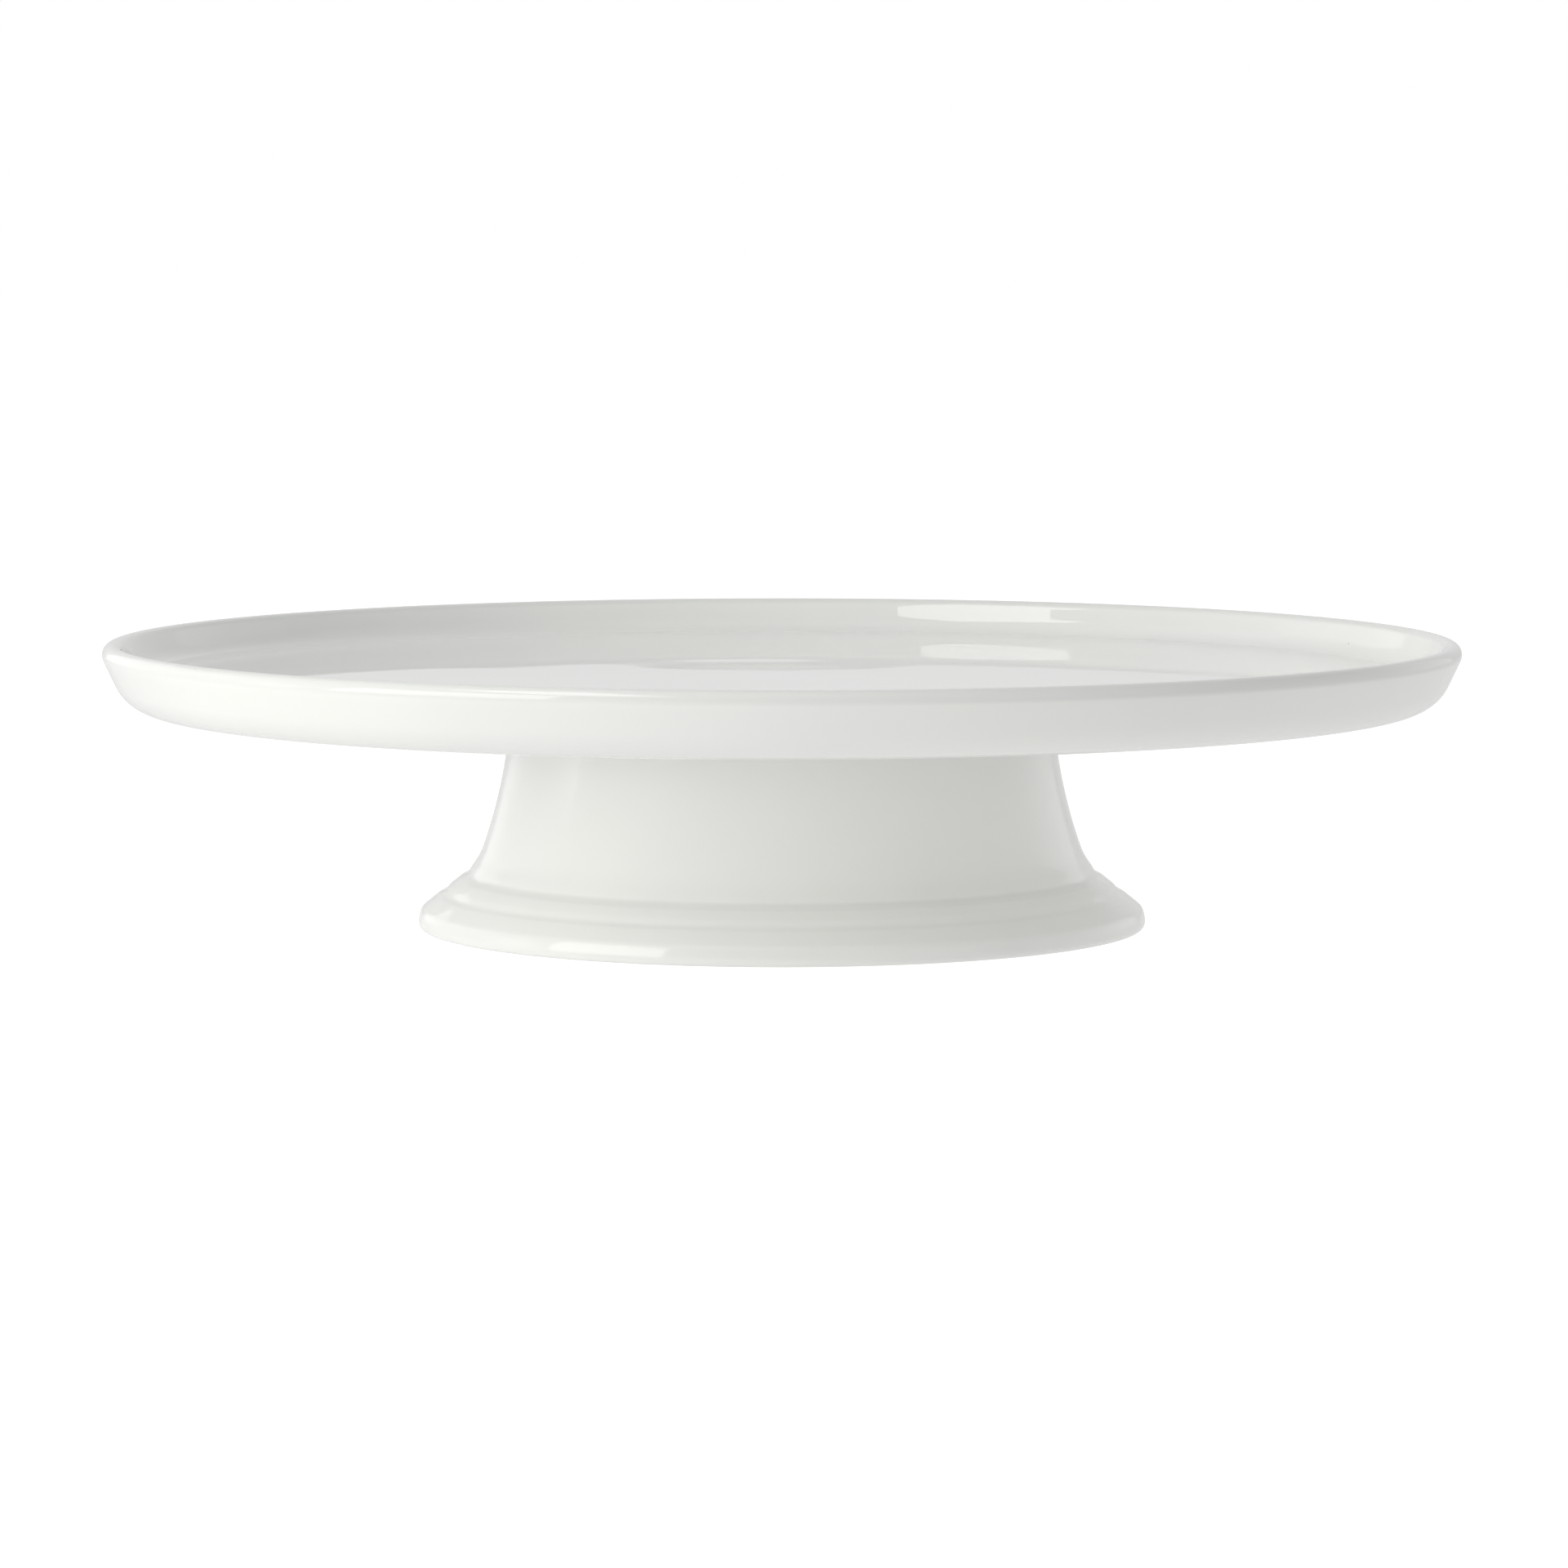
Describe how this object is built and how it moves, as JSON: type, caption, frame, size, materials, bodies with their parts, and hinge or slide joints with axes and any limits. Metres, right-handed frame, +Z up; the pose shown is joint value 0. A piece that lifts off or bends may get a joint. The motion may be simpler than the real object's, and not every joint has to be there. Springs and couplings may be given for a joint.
{
  "type": "cake stand",
  "caption": "Low footed cake stand: a round plate with a shallow flat well and a rolled lip on a hollow waisted pedestal with a beaded, rounded foot, in white glazed porcelain.",
  "frame": {"origin": "centre of the foot ring, in the plane of the table that the stand rests on", "axes": "+Z up along the axis of the turned pieces, from the foot to the plate; the stand is round, so X and Y may point any way"},
  "size_m": [0.3, 0.3, 0.0638],
  "materials": {
    "plate_glaze": "clear gloss glaze over warm white porcelain",
    "pedestal_glaze": "clear gloss glaze over warm white porcelain, with a bare ground foot ring",
    "slip_glaze": "gloss glaze pooled over wiped slip"
  },
  "bodies": {
    "root": {"plate": "plate_glaze", "pedestal": "pedestal_glaze", "slip_joint": "slip_glaze"}
  },
  "joints": []
}
